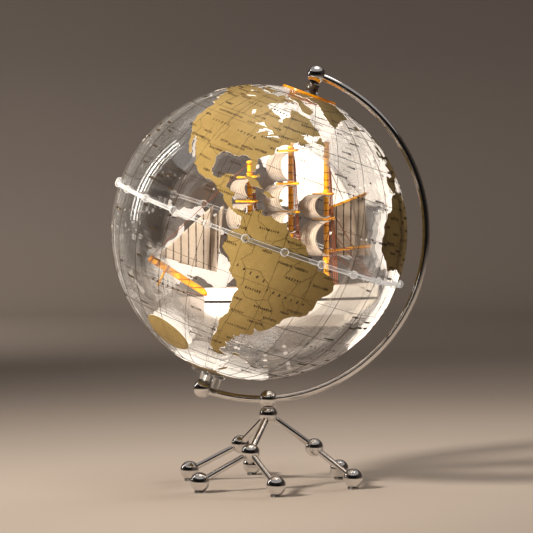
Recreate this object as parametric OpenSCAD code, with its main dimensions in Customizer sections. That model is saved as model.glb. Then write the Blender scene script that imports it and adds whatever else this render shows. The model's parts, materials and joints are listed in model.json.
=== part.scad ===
// Desktop globe: a clear printed ball with a level sailing ship inside, held
// by a polished meridian arm on a three-legged stand of balls and rods.
// Millimetres, +Z up. The arm lies in the XZ plane and bulges towards +X.
// The origin is on the floor, on the stand's upright axis.

/* [Globe] */
// Outer radius of the clear shell
globe_r = 100; // [100:0.5:104]
// Thickness of the clear shell
shell_t = 2.5; // [2:0.1:2.6]
// Lean of the spin axis from upright, in degrees
tilt = 20.18; // [18:0.1:23.5]
// Depth of the lip that joins the two halves
lip_h = 2; // [1.5:0.1:3]

/* [Equator ring] */
// Radius of the ring's centreline beyond the shell
ring_out = 1.0; // [0.8:0.1:1.4]
// Diameter of the ring's rods
ring_rod_d = 2.7; // [2.4:0.1:3.4]
// Diameter of the ring's beads
bead_d = 5.4; // [5:0.1:6]
// Number of beads
bead_count = 24; // [12:1:30]
// Turn of the first bead, in degrees
bead_turn = 4.2; // [0:0.1:14]

/* [Meridian arm] */
// Gap from the shell to the arm's centreline
arm_out = 13.2; // [13:0.1:15]
// Diameter of the arm's rod
arm_d = 5; // [4.5:0.1:5.4]
// Angle from straight down to the clamp ball, in degrees
clamp_angle = 3.2; // [2.8:0.1:4]

/* [Stand] */
// Diameter of the pole, clamp, hub and knee balls
ball_d = 12.4; // [12:0.1:13]
// Diameter of the foot balls
foot_d = 13; // [12.6:0.1:14]
// Drop from the clamp ball to the hub ball, centre to centre
neck_drop = 10.6; // [10.4:0.1:11.5]
// Drop from the hub ball to the knee balls
knee_drop = 22.7; // [20:0.1:26]
// Radius of the circle of knee balls
knee_reach = 31.5; // [28:0.5:36]
// Drop from the knee balls to the foot balls
foot_drop = 18.2; // [16:0.1:22]
// Radius of the circle of foot balls
foot_reach = 60; // [56:0.5:66]
// Half of the angle between a leg's two feet, in degrees
foot_spread = 26.9; // [22:0.1:30]
// Turn of the first leg from +X, in degrees
leg_turn = 16.5; // [0:0.5:60]
// Diameter of the upper leg rods
upper_d = 4.5; // [4:0.1:5]
// Diameter of the lower leg rods
lower_d = 4; // [3.6:0.1:4.6]
// Height of a foot ball above the floor on its pad
pad_lift = 0.5; // [0.4:0.1:0.8]

/* [Ship] */
// Heading of the bow from +X, in degrees
ship_heading = 196.85; // [195:0.1:198]
// Height of the hull's bottom below the globe's centre
keel_depth = 63.7; // [62:0.1:64]
// Diameter of the masts
mast_d = 3.6; // [3.2:0.1:4]
// Diameter of the yards, gaff and boom
yard_d = 1.8; // [1.6:0.1:2]
// Thickness of the sails
sail_t = 0.5; // [0.4:0.1:0.6]
// Diameter of the rigging threads
thread_d = 0.5; // [0.4:0.1:0.6]
// Angle that the square sails are braced round to port, in degrees
brace_angle = 15; // [10:0.5:20]

/* [Hidden] */
$fn = 96;
seat_gap = 0.02;
ball_r = ball_d / 2;
foot_r = foot_d / 2;
spigot_r = 1.3;
spigot_in = 3;
pad_h = 1.5;
pad_r = 3.6;
foot_z = pad_lift + foot_r;
knee_z = foot_z + foot_drop;
hub_z = knee_z + knee_drop;
clamp_z = hub_z + neck_drop;
arm_r = globe_r + arm_out;
globe_x = -arm_r * sin(clamp_angle);
globe_z = clamp_z + arm_r * cos(clamp_angle);
inner_r = globe_r - shell_t;
ring_r = globe_r + ring_out;

// Pole fittings, as heights along the spin axis from the globe's centre
pin_r = 2;
pin_head_r = 4.6;
run_gap = 0.05;
cap_seat = globe_r - 1.7;
cap_r = 18.9;
cap_t = 1.5;
boss_hole_r = 6;
plug_r = 13.4;
plug_low = globe_r - 7;
boss_low = plug_low;
boss_top = arm_r - ball_r - 0.4;
pin_head_top = boss_low - 0.6;
flange_top = globe_r + 0.4;
flange_t = 1.8;
flange_r = 12;
sleeve_r = 4.7;
spindle_r = 4;
bush_r = 7;
bush_top = globe_r - 5.5;
south_pin_r = 1.5;
stem_r = 2.5;
tab_near = 6;
tab_t = 3.8;
tab_half = 4.4;

// Ship: x is forward, y is to port, z is up from the globe's centre
ship_x = 10.5;
ship_y = 10.3;
deck_z = -41.5;
deck_t = 1;
deck_top = deck_z + deck_t;
deck_inset = 1.6;
bulwark_top = -30;
fore_x = 18.4;
main_x = -9.7;
mizzen_x = -34.3;
fore_top = 48;
main_top = 60.5;
mizzen_top = 61;
mast_r = mast_d / 2;
yard_r = yard_d / 2;
yard_seat = mast_r + yard_r - 0.3;
sail_gap = 0.3;
// Each hull station: x, bottom z, half width at bottom, bilge and top, top z
stations = [
    [49.5, -61.0, 0.6, 0.7, 0.8, -37.8],
    [40, -keel_depth, 3.6, 7.6, 8.4, -37.6],
    [20, -keel_depth, 7.0, 13.4, 14.2, -37.3],
    [-20, -keel_depth, 8.0, 14.6, 15.4, -37.0],
    [-44.8, -keel_depth, 6.4, 12.2, 13.0, -36.4],
    [-68.4, -45.5, 6.2, 8.6, 8.8, -35.0]
];
bilge_rise = 8;
// Each square sail: mast x, yard z, foot z, width, belly
square_sails = [
    [fore_x, 37.5, 22.5, 26, 7],
    [fore_x, 21, 1, 30, 10],
    [main_x, 55.5, 35, 26, 11],
    [main_x, 33, 15.5, 30, 13],
    [main_x, 14, 1, 32, 11],
    [mizzen_x, 26, 11, 26, 12],
    [mizzen_x, 9.5, -16, 30, 12]
];
yard_over = 3;
bowsprit_heel = [46.8, 0, -42.3];
bowsprit_tip = [87, 0, -17];
bowsprit_r = 2.3;
striker_top = [75.6, 0, -24.3];
striker_tip = [81.5, 0, -36];
striker_r = 0.9;
gaff_jaw = [mizzen_x - mast_r, 0, 16.5];
gaff_peak = [-62, 0, 26.5];
boom_jaw = [mizzen_x - mast_r, 0, -12.8];
boom_end = [-65.5, 0, -9.2];
// Corners of the fore-and-aft sails, as forward and up distances
outer_jib_pts = [[81.5, -15.5], [43.5, 18.4], [47.5, -25.5]];
inner_jib_pts = [[67.5, -20.5], [36, 18.6], [41, -27]];
jib_side = 1.2;
spanker_side = -1.3;
spanker_pts = [[-38, 16.5], [-60.6, 25.4], [-64.8, -16], [-42.2, -16]];

// ---- Places ----

// Centre of one of the three knee balls
function knee_at(leg) = let (a = leg_turn + 120 * leg)
    [knee_reach * cos(a), knee_reach * sin(a), knee_z];

// Centre of one of the six foot balls, two to a leg
function foot_at(i) = let (a = leg_turn + 120 * floor(i / 2) + foot_spread * (i % 2 == 0 ? -1 : 1))
    [foot_reach * cos(a), foot_reach * sin(a), foot_z];

hub_at = [0, 0, hub_z];
clamp_at = [0, 0, clamp_z];

// Places children along the globe's spin axis, with z from its centre
module axis_frame() {
    translate([globe_x, 0, globe_z])
        rotate([0, tilt, 0])
            children();
}

// Places children in the ship's own frame
module ship_frame() {
    translate([globe_x + ship_x, ship_y, globe_z])
        rotate([0, 0, ship_heading])
            children();
}

// ---- Shared shapes ----

// Round bar from one point to another
module bar(p, q, r) {
    v = q - p;
    translate(p)
        rotate([0, acos(v[2] / norm(v)), atan2(v[1], v[0])])
            cylinder(h = norm(v), r = r);
}

// Point a given distance from p on the way to q
function towards(p, q, d) = p + (q - p) * (d / norm(q - p));

// Leg rod turned with a hollow seat and a spigot for the ball at each end
module leg_rod(p, rp, q, rq, r) {
    v = q - p;
    long = norm(v);
    translate(p)
        rotate([0, acos(v[2] / long), atan2(v[1], v[0])])
            rotate_extrude()
                union() {
                    difference() {
                        square([r, long]);
                        circle(r = rp + seat_gap);
                        translate([0, long]) circle(r = rq + seat_gap);
                    }
                    translate([0, rp - spigot_in]) square([spigot_r, 2 * spigot_in]);
                    translate([0, long - rq - spigot_in]) square([spigot_r, 2 * spigot_in]);
                }
}

// Socket for a leg rod's spigot, in a ball at p
module leg_socket(p, rp, q) {
    bar(towards(p, q, rp - spigot_in - 0.1), towards(p, q, rp + 2), spigot_r + seat_gap);
}

// Stretch of the arm's curve, in degrees up from the equator plane
module arm_curve(r, from, to) {
    axis_frame()
        rotate([90, 0, 0])
            rotate([0, 0, from])
                rotate_extrude(angle = to - from)
                    translate([arm_r, 0])
                        circle(r = r);
}

arm_end_in = 3;
function arm_deg(d) = d / arm_r * 180 / PI;

// ---- Stand ----

module foot_ball(i) {
    v = knee_at(floor(i / 2)) - foot_at(i);
    color("silver")
        translate(foot_at(i))
            rotate([0, acos(v[2] / norm(v)), atan2(v[1], v[0])])
                rotate_extrude()
                    difference() {
                        intersection() {
                            circle(r = foot_r);
                            translate([0, -foot_r]) square([foot_r, 2 * foot_r]);
                        }
                        translate([0, foot_r - spigot_in - 0.1]) square([spigot_r + seat_gap, foot_r]);
                    }
}

module foot_pads() {
    color("gainsboro")
        for (i = [0:5])
            difference() {
                translate([foot_at(i)[0], foot_at(i)[1], 0]) cylinder(h = pad_h, r = pad_r);
                translate(foot_at(i)) sphere(r = foot_r + seat_gap);
            }
}

module lower_rod(i) {
    color("silver")
        leg_rod(knee_at(floor(i / 2)), ball_r, foot_at(i), foot_r, lower_d / 2);
}

module knee_ball(leg) {
    color("silver")
        difference() {
            translate(knee_at(leg)) sphere(r = ball_r);
            leg_socket(knee_at(leg), ball_r, hub_at);
            leg_socket(knee_at(leg), ball_r, foot_at(2 * leg));
            leg_socket(knee_at(leg), ball_r, foot_at(2 * leg + 1));
        }
}

module upper_rod(leg) {
    color("silver")
        leg_rod(hub_at, ball_r, knee_at(leg), ball_r, upper_d / 2);
}

waist_z = (hub_z + clamp_z) / 2;
waist_r = 3.15;
waist_h = 0.6;
stud_r = 1.6;
stud_in = 3.1;

module hub_ball() {
    color("silver")
        difference() {
            translate(hub_at) sphere(r = ball_r);
            translate([-ball_d, -ball_d, waist_z - waist_h / 2]) cube([2 * ball_d, 2 * ball_d, ball_d]);
            translate([0, 0, hub_z + stud_in - 0.1]) cylinder(h = ball_d, r = stud_r + seat_gap);
            for (leg = [0:2])
                leg_socket(hub_at, ball_r, knee_at(leg));
        }
}

module neck_stud() {
    color("silver")
        union() {
            translate([0, 0, waist_z - waist_h / 2]) cylinder(h = waist_h, r = waist_r);
            translate([0, 0, hub_z + stud_in]) cylinder(h = neck_drop - 2 * stud_in, r = stud_r);
        }
}

module clamp_ball() {
    color("silver")
        difference() {
            translate(clamp_at) sphere(r = ball_r);
            translate([-ball_d, -ball_d, waist_z + waist_h / 2 - ball_d]) cube([2 * ball_d, 2 * ball_d, ball_d]);
            translate([0, 0, waist_z]) cylinder(h = clamp_z - waist_z - stud_in + 0.1, r = stud_r + seat_gap);
            arm_curve(arm_d / 2 + seat_gap, -84, -54);
        }
}

module meridian_arm() {
    color("silver")
        arm_curve(arm_d / 2, arm_deg(arm_end_in) - 90, 90 - arm_deg(arm_end_in));
}

module north_ball() {
    color("silver")
        difference() {
            axis_frame() translate([0, 0, arm_r]) sphere(r = ball_r);
            arm_curve(arm_d / 2 + seat_gap, 80, 90 - arm_deg(arm_end_in - 0.1));
            axis_frame() translate([0, 0, arm_r - ball_d]) cylinder(h = ball_d - 2.9, r = pin_r + seat_gap);
        }
}

module south_ball() {
    color("silver")
        difference() {
            axis_frame() translate([0, 0, -arm_r]) sphere(r = ball_r);
            arm_curve(arm_d / 2 + seat_gap, arm_deg(arm_end_in - 0.1) - 90, -80);
            axis_frame() translate([0, 0, 2.9 - arm_r]) cylinder(h = ball_d, r = south_pin_r + seat_gap);
        }
}

// ---- Pole fittings ----

// Pin that the globe hangs true on, with a head inside the shell
module north_pin() {
    color("silver")
        axis_frame()
            union() {
                translate([0, 0, pin_head_top - 1]) cylinder(h = arm_r - 3 - pin_head_top + 1, r = pin_r);
                translate([0, 0, pin_head_top - 1]) cylinder(h = 1, r = pin_head_r);
            }
}

module south_pin() {
    color("silver")
        axis_frame()
            translate([0, 0, 3 - arm_r])
                cylinder(h = arm_r - 3 - bush_top, r = south_pin_r);
}

module south_sleeve() {
    color("white", 0.4)
        axis_frame()
            difference() {
                translate([0, 0, 4 - arm_r]) cylinder(h = arm_r - 4 - flange_top - flange_t, r = sleeve_r);
                translate([0, 0, -arm_r]) sphere(r = ball_r + seat_gap);
                translate([0, 0, -arm_r]) cylinder(h = ball_d * 2, r = south_pin_r + seat_gap);
            }
}

// Flange under the globe with the spindle that the globe turns on
module south_flange() {
    color("white", 0.4)
        axis_frame()
            difference() {
                union() {
                    translate([0, 0, -flange_top - flange_t]) cylinder(h = flange_t, r = flange_r);
                    translate([0, 0, -flange_top - 0.1]) cylinder(h = flange_top + 0.1 - bush_top, r = spindle_r);
                }
                translate([0, 0, -arm_r]) cylinder(h = arm_r, r = south_pin_r + seat_gap);
            }
}

// Forked tab from the flange down over the arm, which stops the ship turning
module anti_turn_tab() {
    color("white", 0.4)
        difference() {
            axis_frame()
                translate([tab_near, -tab_half, -arm_r])
                    cube([tab_t, 2 * tab_half, arm_r - flange_top - flange_t]);
            arm_curve(arm_d / 2 + 0.05, -89, -80);
            axis_frame() translate([0, 0, -arm_r]) sphere(r = ball_r + 0.05);
        }
}

saddle_len = 22;
saddle_w = 9;
saddle_t = 3;
saddle_x = 32;

// Clear stem that carries the ship's hull, with a saddle under the keel
module ship_stem() {
    color("white", 0.4)
        union() {
            difference() {
                axis_frame() translate([0, 0, -bush_top]) cylinder(h = bush_top - 60, r = stem_r);
                translate([-globe_r, -globe_r, globe_z - keel_depth - 1]) cube([2 * globe_r, 2 * globe_r, globe_r]);
            }
            ship_frame()
                translate([saddle_x - saddle_len / 2, -saddle_w / 2, -keel_depth - saddle_t])
                    cube([saddle_len, saddle_w, saddle_t - seat_gap]);
        }
}

// ---- Ship ----

// One cross-section of the hull, a thin slice across the ship
module hull_slice(s) {
    translate([s[0], 0, 0])
        rotate([90, 0, 90])
            linear_extrude(height = 0.1)
                polygon([[-s[2], s[1]], [s[2], s[1]], [s[3], s[1] + min(bilge_rise, (s[5] - s[1]) / 2)],
                    [s[4], s[5]], [-s[4], s[5]], [-s[3], s[1] + min(bilge_rise, (s[5] - s[1]) / 2)]]);
}

// Plan outline inside the bulwarks
module deck_outline(inset) {
    polygon(concat(
        [for (i = [1:len(stations) - 1]) [stations[i][0] + (i == len(stations) - 1 ? inset : 0),
            stations[i][3] - inset]],
        [for (i = [len(stations) - 1:-1:1]) [stations[i][0] + (i == len(stations) - 1 ? inset : 0),
            inset - stations[i][3]]],
        [[44.6, 0]]
    ));
}

module hull_body() {
    color("white")
        ship_frame()
            difference() {
                for (i = [0:len(stations) - 2])
                    hull() {
                        hull_slice(stations[i]);
                        hull_slice(stations[i + 1]);
                    }
                translate([0, 0, deck_z]) linear_extrude(height = bulwark_top - deck_z) deck_outline(deck_inset);
                bar(bowsprit_heel, bowsprit_tip, bowsprit_r + seat_gap);
            }
}

cutwater_t = 1.2;

// Thin beak plate ahead of the stem, curved along its lower edge
module cutwater() {
    color("lightgray")
        ship_frame()
            translate([0, cutwater_t / 2, 0])
                rotate([90, 0, 0])
                    linear_extrude(height = cutwater_t)
                        polygon(concat([[49.62, -60.5], [49.62, -43.7], [68.5, -43.7]],
                            [for (a = [0.15:0.15:0.9]) [68.5 - 18.8 * a, -43.7 - 16.8 * pow(a, 0.82)]]));
}

module ship_deck() {
    color("burlywood")
        ship_frame()
            translate([0, 0, deck_z])
                linear_extrude(height = deck_t)
                    deck_outline(deck_inset + 0.1);
}

module bowsprit() {
    color("orange")
        ship_frame()
            difference() {
                bar(bowsprit_heel, bowsprit_tip, bowsprit_r);
                bar(striker_top, striker_tip, striker_r + seat_gap);
            }
}

module dolphin_striker() {
    color("orange")
        ship_frame()
            bar(striker_top, striker_tip, striker_r);
}

// Mast with notches for its yards
module mast(x, top) {
    color("orange")
        ship_frame()
            difference() {
                translate([x, 0, deck_top]) cylinder(h = top - deck_top, r = mast_r);
                for (s = square_sails)
                    if (s[0] == x)
                        yard(s, seat_gap);
                if (x == mizzen_x) {
                    bar(gaff_jaw, gaff_peak, yard_r + seat_gap);
                    bar(boom_jaw, boom_end, yard_r + seat_gap);
                }
            }
}

// Turns a sail and its yard round the mast at x, port end aft
module braced(x) {
    translate([x, 0, 0])
        rotate([0, 0, brace_angle])
            translate([-x, 0, 0])
                children();
}

module yard(s, gap = 0) {
    braced(s[0])
        translate([s[0] + yard_seat, s[3] / 2 + yard_over, s[1]])
            rotate([90, 0, 0])
                cylinder(h = s[3] + 2 * yard_over, r = yard_r + gap);
}

module yards() {
    color("orange")
        ship_frame()
            for (s = square_sails)
                yard(s);
}

module spanker_spars() {
    color("orange")
        ship_frame()
            union() {
                bar(gaff_jaw, gaff_peak, yard_r);
                bar(boom_jaw, boom_end, yard_r);
            }
}

// Square sail as a curved sheet, bellied forward of its yard
module square_sail(s) {
    height = s[1] - s[2] - yard_d;
    belly = s[4];
    bend_r = (height * height / 4 + belly * belly) / (2 * belly);
    half_turn = acos((bend_r - belly) / bend_r);
    color("ivory")
        ship_frame()
            braced(s[0])
                translate([s[0] + yard_seat + yard_r + sail_gap, s[3] / 2, s[2] + height / 2])
                    rotate([90, 0, 0])
                        translate([belly - bend_r, 0, 0])
                            rotate([0, 0, -half_turn])
                                rotate_extrude(angle = 2 * half_turn)
                                    translate([bend_r - sail_t / 2, 0])
                                        square([sail_t, s[3]]);
}

// Flat fore-and-aft sail, side to port of the ship's centreline
module flat_sail(pts, side = 0) {
    color("ivory")
        ship_frame()
            translate([0, side + sail_t / 2, 0])
                rotate([90, 0, 0])
                    linear_extrude(height = sail_t)
                        polygon(pts);
}

thread_r = thread_d / 2;
// Shrouds of one mast: mast x, height on the mast, half width and height at the rail
shroud_sets = [[fore_x, 44, 13.6, -36.6], [main_x, 55, 14.2, -36.5], [mizzen_x, 48, 12.6, -35.7]];

module shrouds() {
    color("chocolate")
        ship_frame()
            for (s = shroud_sets)
                for (side = [-1, 1])
                    for (k = [0:2])
                        bar([s[0] - 1.6 - k * 0.5, side * (mast_r + 0.3), s[1] - 3 * k],
                            [s[0] - 3.2 - 1.3 * k, side * s[2], s[3]], thread_r);
}

// Centreline rigging: forestay, bobstay, gaff lifts and the fan to the stern
stay_ends = [
    [[85, 0, -15.2], [fore_x + mast_r + 0.3, 0, 46]],
    [[main_x - mast_r - 0.3, 0, 56], [mizzen_x + mast_r + 0.3, 0, 59]],
    [[80.2, 0, -36], [51.2, 0, -43.1]],
    [[mizzen_x - mast_r - 0.3, 0, 47.5], [-57.5, 0, 26.2]],
    [[mizzen_x - mast_r - 0.5, 0, 43], [-46, 0, 22.2]],
    [[-36.6, 2.6, 16.5], [-66, 4.2, -33.3]],
    [[-36.6, 2.6, 2], [-64.6, 3.4, -33.3]],
    [[-40, 1.8, -15.2], [-65.8, 2.6, -33.2]],
    [[-50, 1.8, -14.4], [-66.4, 1, -33.2]],
    [[-36.6, -2.6, 16.5], [-66, -4.2, -33.3]],
    [[-40, -2.2, -17.2], [-65.8, -2.6, -33.2]]
];

module stays() {
    color("dimgray")
        ship_frame()
            for (e = stay_ends)
                bar(e[0], e[1], thread_r);
}

// ---- Turning globe ----

module north_hemisphere() {
    color("white", 0.25)
        axis_frame()
            difference() {
                union() {
                    difference() {
                        sphere(r = globe_r);
                        translate([-2 * globe_r, -2 * globe_r, -4 * globe_r]) cube(4 * globe_r);
                    }
                    translate([0, 0, -lip_h]) cylinder(h = lip_h + 0.5, r = inner_r + 1.1);
                }
                sphere(r = inner_r);
                translate([-globe_r, -globe_r, cap_seat]) cube(2 * globe_r);
                cylinder(h = 2 * globe_r, r = plug_r + seat_gap);
            }
}

module south_hemisphere() {
    color("white", 0.25)
        axis_frame()
            difference() {
                sphere(r = globe_r);
                sphere(r = inner_r);
                translate([-2 * globe_r, -2 * globe_r, -seat_gap]) cube(4 * globe_r);
                translate([0, 0, -lip_h - seat_gap]) cylinder(h = globe_r, r = inner_r + 1.1 + seat_gap);
                translate([0, 0, -2 * globe_r]) cylinder(h = 2 * globe_r, r = spindle_r + 1);
            }
}

// Flanged plug that closes the top of the shell
module north_cap() {
    seat = cap_seat + seat_gap;
    color("goldenrod", 0.7)
        axis_frame()
            rotate_extrude()
                polygon([
                    [boss_hole_r, plug_low], [plug_r, plug_low], [plug_r, seat],
                    [cap_r, seat], [cap_r, seat + cap_t], [boss_hole_r, seat + cap_t]
                ]);
}

// Trumpet-shaped boss glued into the cap, bored to turn on the north pin
module north_boss() {
    flare_low = cap_seat + cap_t + 0.05;
    flare_h = boss_top - flare_low;
    color("dimgray", 0.6)
        axis_frame()
            rotate_extrude()
                polygon(concat(
                    [[pin_r + run_gap, boss_low], [boss_hole_r - seat_gap, boss_low],
                        [boss_hole_r - seat_gap, flare_low]],
                    [for (k = [0:8]) [4.5 + 2.2 * pow(1 - k / 5, 2) * (k < 5 ? 1 : 0.35),
                        flare_low + flare_h * k / 8]],
                    [[pin_r + run_gap, boss_top]]
                ));
}

// Bush in the bottom of the shell that turns on the spindle
module south_bush() {
    sleeve_out = spindle_r + 1 - seat_gap;
    lip_low = 0.3 - inner_r;
    color("white", 0.4)
        axis_frame()
            rotate_extrude()
                polygon([
                    [spindle_r + run_gap, 0.1 - flange_top],
                    [sleeve_out, 0.1 - flange_top],
                    [sleeve_out, lip_low],
                    [bush_r, lip_low],
                    [bush_r, -bush_top - 0.5],
                    [spindle_r + run_gap, -bush_top - 0.5]
                ]);
}

bead_step = 360 / bead_count;
ring_inside = globe_r + seat_gap;

// Rods of the ring, one from each bead to the next, flat against the shell
module equator_ring() {
    color("white", 0.4)
        axis_frame()
            for (k = [0:bead_count - 1])
                rotate([0, 0, 180 + bead_turn + bead_step * k])
                    difference() {
                        rotate_extrude(angle = bead_step)
                            intersection() {
                                translate([ring_r, 0]) circle(r = ring_rod_d / 2);
                                translate([ring_inside, -ring_rod_d]) square([ring_rod_d * 2, ring_rod_d * 2]);
                            }
                        translate([ring_r, 0, 0]) sphere(r = bead_d / 2 + seat_gap);
                        rotate([0, 0, bead_step]) translate([ring_r, 0, 0]) sphere(r = bead_d / 2 + seat_gap);
                    }
}

// Beads of the ring, flat where they meet the shell
module equator_beads() {
    color("white", 0.4)
        axis_frame()
            for (k = [0:bead_count - 1])
                rotate([0, 0, 180 + bead_turn + bead_step * k])
                    difference() {
                        translate([ring_r, 0, 0]) sphere(r = bead_d / 2);
                        translate([ring_inside - bead_d, -bead_d, -bead_d]) cube([bead_d, 2 * bead_d, 2 * bead_d]);
                    }
}

foot_pads();
for (i = [0:5]) {
    foot_ball(i);
    lower_rod(i);
}
for (leg = [0:2]) {
    knee_ball(leg);
    upper_rod(leg);
}
hub_ball();
neck_stud();
clamp_ball();
meridian_arm();
north_ball();
south_ball();
north_pin();
south_pin();
south_sleeve();
south_flange();
anti_turn_tab();
ship_stem();
hull_body();
cutwater();
ship_deck();
bowsprit();
dolphin_striker();
mast(fore_x, fore_top);  // fore_mast
mast(main_x, main_top);  // main_mast
mast(mizzen_x, mizzen_top);  // mizzen_mast
yards();
spanker_spars();
flat_sail(outer_jib_pts, jib_side);  // outer_jib
flat_sail(inner_jib_pts, -jib_side);  // inner_jib
square_sail(square_sails[0]);  // fore_topsail
square_sail(square_sails[1]);  // fore_course
square_sail(square_sails[2]);  // main_topgallant
square_sail(square_sails[3]);  // main_topsail
square_sail(square_sails[4]);  // main_course
square_sail(square_sails[5]);  // mizzen_topsail
square_sail(square_sails[6]);  // mizzen_course
flat_sail(spanker_pts, spanker_side);  // spanker
shrouds();
stays();
north_hemisphere();
south_hemisphere();
north_cap();
north_boss();
south_bush();
equator_ring();
equator_beads();
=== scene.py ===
"""Looks for the clear desk globe with a model ship inside, on its ball-jointed stand."""
import json
import math
import random

import bmesh
import bpy
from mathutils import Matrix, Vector
from mathutils.geometry import delaunay_2d_cdt
from mathutils.kdtree import KDTree


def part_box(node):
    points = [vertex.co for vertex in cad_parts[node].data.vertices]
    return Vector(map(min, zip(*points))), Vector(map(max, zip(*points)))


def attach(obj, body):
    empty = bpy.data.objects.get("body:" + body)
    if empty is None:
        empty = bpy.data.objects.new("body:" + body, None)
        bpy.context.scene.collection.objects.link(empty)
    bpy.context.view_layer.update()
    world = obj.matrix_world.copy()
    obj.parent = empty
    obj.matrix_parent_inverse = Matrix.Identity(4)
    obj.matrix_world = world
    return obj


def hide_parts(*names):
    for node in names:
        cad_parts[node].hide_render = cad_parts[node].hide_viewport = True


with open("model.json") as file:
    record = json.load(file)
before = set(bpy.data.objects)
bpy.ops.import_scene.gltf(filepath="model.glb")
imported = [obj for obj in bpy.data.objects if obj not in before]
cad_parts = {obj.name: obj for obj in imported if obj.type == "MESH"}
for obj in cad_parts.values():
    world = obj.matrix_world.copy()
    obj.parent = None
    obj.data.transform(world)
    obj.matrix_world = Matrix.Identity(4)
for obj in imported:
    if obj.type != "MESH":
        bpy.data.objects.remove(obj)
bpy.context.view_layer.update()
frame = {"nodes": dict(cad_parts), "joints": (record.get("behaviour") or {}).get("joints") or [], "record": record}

MM = 0.001
DEG = math.pi / 180

# ---- Places, all from the frame ----

spin = frame["joints"][0]
GLOBE_AT = Vector(spin["pos_m"])
AXIS = Vector(spin["axis"]).normalized()
EAST_AXIS = Vector((AXIS.z, 0, -AXIS.x))
BACK_AXIS = Vector((0, 1, 0))
GLOBE_R = 100 * MM

STAND, GLOBE = "stand", "globe"


def middle(node):
    low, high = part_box(node)
    return (low + high) / 2


# Where the masts stand along the ship, in mm of the ship's own frame
FORE_X, MAIN_X, MIZZEN_X = 18.4, -9.7, -34.3
fore_at, main_at, mizzen_at = middle("fore_mast"), middle("main_mast"), middle("mizzen_mast")
SHIP_X = Vector((fore_at.x - mizzen_at.x, fore_at.y - mizzen_at.y, 0)).normalized()
SHIP_Y = Vector((-SHIP_X.y, SHIP_X.x, 0))
SHIP_AT = Vector((main_at.x, main_at.y, GLOBE_AT.z)) - SHIP_X * MAIN_X * MM


def ship(x, y, z):
    """A point of the ship's frame, in mm: x forward, y to port, z up from the globe's centre."""
    return SHIP_AT + (SHIP_X * x + SHIP_Y * y + Vector((0, 0, z))) * MM


# ---- Camera, lights and room ----

VIEW_AZ, VIEW_EL, VIEW_FAR = 8.85 * DEG, 0.67 * DEG, 1.5
LENS, AIM_RIGHT, AIM_DOWN = 149.6, 5.0 * MM, 23.1 * MM


def make_camera():
    back = Vector((math.sin(VIEW_AZ) * math.cos(VIEW_EL),
                   -math.cos(VIEW_AZ) * math.cos(VIEW_EL), math.sin(VIEW_EL)))
    right = Vector((math.cos(VIEW_AZ), math.sin(VIEW_AZ), 0))
    up = right.cross(-back)
    data = bpy.data.cameras.new("camera")
    data.lens, data.sensor_width = LENS, 36
    data.clip_start, data.clip_end = 0.05, 30
    camera = bpy.data.objects.new("camera", data)
    bpy.context.scene.collection.objects.link(camera)
    camera.location = GLOBE_AT + back * VIEW_FAR
    target = GLOBE_AT + right * AIM_RIGHT - up * AIM_DOWN
    camera.rotation_mode = "QUATERNION"
    camera.rotation_quaternion = (target - camera.location).to_track_quat("-Z", "Y")
    bpy.context.scene.camera = camera


def area_light(name, at, aim, size, power, colour, spread):
    """A round lamp at a place, aimed at another, with its size in metres and its spread in degrees."""
    data = bpy.data.lights.new(name, "AREA")
    data.shape, data.size, data.energy, data.color = "DISK", size, power, colour
    data.spread = spread * DEG
    light = bpy.data.objects.new(name, data)
    bpy.context.scene.collection.objects.link(light)
    light.location = at
    light.rotation_mode = "QUATERNION"
    light.rotation_quaternion = (Vector(aim) - Vector(at)).to_track_quat("-Z", "Y")
    light.visible_camera = False
    return light


def make_lights():
    """Warm lamps from the front left, a weaker one behind, a wash on the wall and soft ones above."""
    key = area_light("key", (-0.95, -0.80, 0.80), GLOBE_AT, 0.22, 6.5, (1.0, 0.92, 0.82), 62)
    low = area_light("low", (-0.75, -1.35, 0.10), GLOBE_AT, 0.30, 3.0, (1.0, 0.92, 0.82), 50)
    back = area_light("back", (0.9, 1.0, 0.6), GLOBE_AT, 0.35, 1.6, (1.0, 0.94, 0.86), 60)
    wash = area_light("wash", (-1.2, 0.7, 0.9), (-0.85, 2.4, 0.1), 0.4, 6, (1.0, 0.94, 0.86), 90)
    for light in (key, low, back, wash):
        light.visible_glossy = False
    area_light("top", (0.1, 0.1, 1.3), GLOBE_AT, 0.7, 1.6, (1.0, 0.95, 0.89), 110)
    area_light("floor", (0.3, -0.2, 1.9), (0.0, -0.1, 0), 0.5, 0.9, (1.0, 0.95, 0.88), 120)
    strip = area_light("strip", (-1.2, 0.35, 0.75), GLOBE_AT, 0.04, 0.35, (1.0, 0.96, 0.90), 80)
    strip.data.shape, strip.data.size_y = "RECTANGLE", 1.0
    world = bpy.data.worlds.new("room")
    bpy.context.scene.world = world
    world.use_nodes = True
    bpy.context.scene.cycles.transparent_max_bounces = 24
    bpy.context.scene.view_settings.view_transform = "Standard"
    sky = world.node_tree.nodes["Background"]
    sky.inputs["Color"].default_value = (0.36, 0.335, 0.32, 1)
    sky.inputs["Strength"].default_value = 1.0


ROOM_R, ROOM_CORNER, ROOM_TOP = 2.4, 0.6, 2.6


def make_room():
    """A round studio: floor, curved corner and wall, the same from every side."""
    profile = [(0.0, 0.0), (0.3, 0.0), (0.6, 0.0), (1.2, 0.0), (ROOM_R, 0.0)]
    for k in range(1, 13):
        a = k / 12 * math.pi / 2
        profile.append((ROOM_R + ROOM_CORNER * math.sin(a), ROOM_CORNER * (1 - math.cos(a))))
    profile.append((ROOM_R + ROOM_CORNER, ROOM_TOP))
    verts, faces = lathe(profile, Vector(), Vector((0, 0, 1)), 96)
    room = link_mesh("studio_room", verts, faces, room_material())


# ---- Mesh helpers ----

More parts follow.
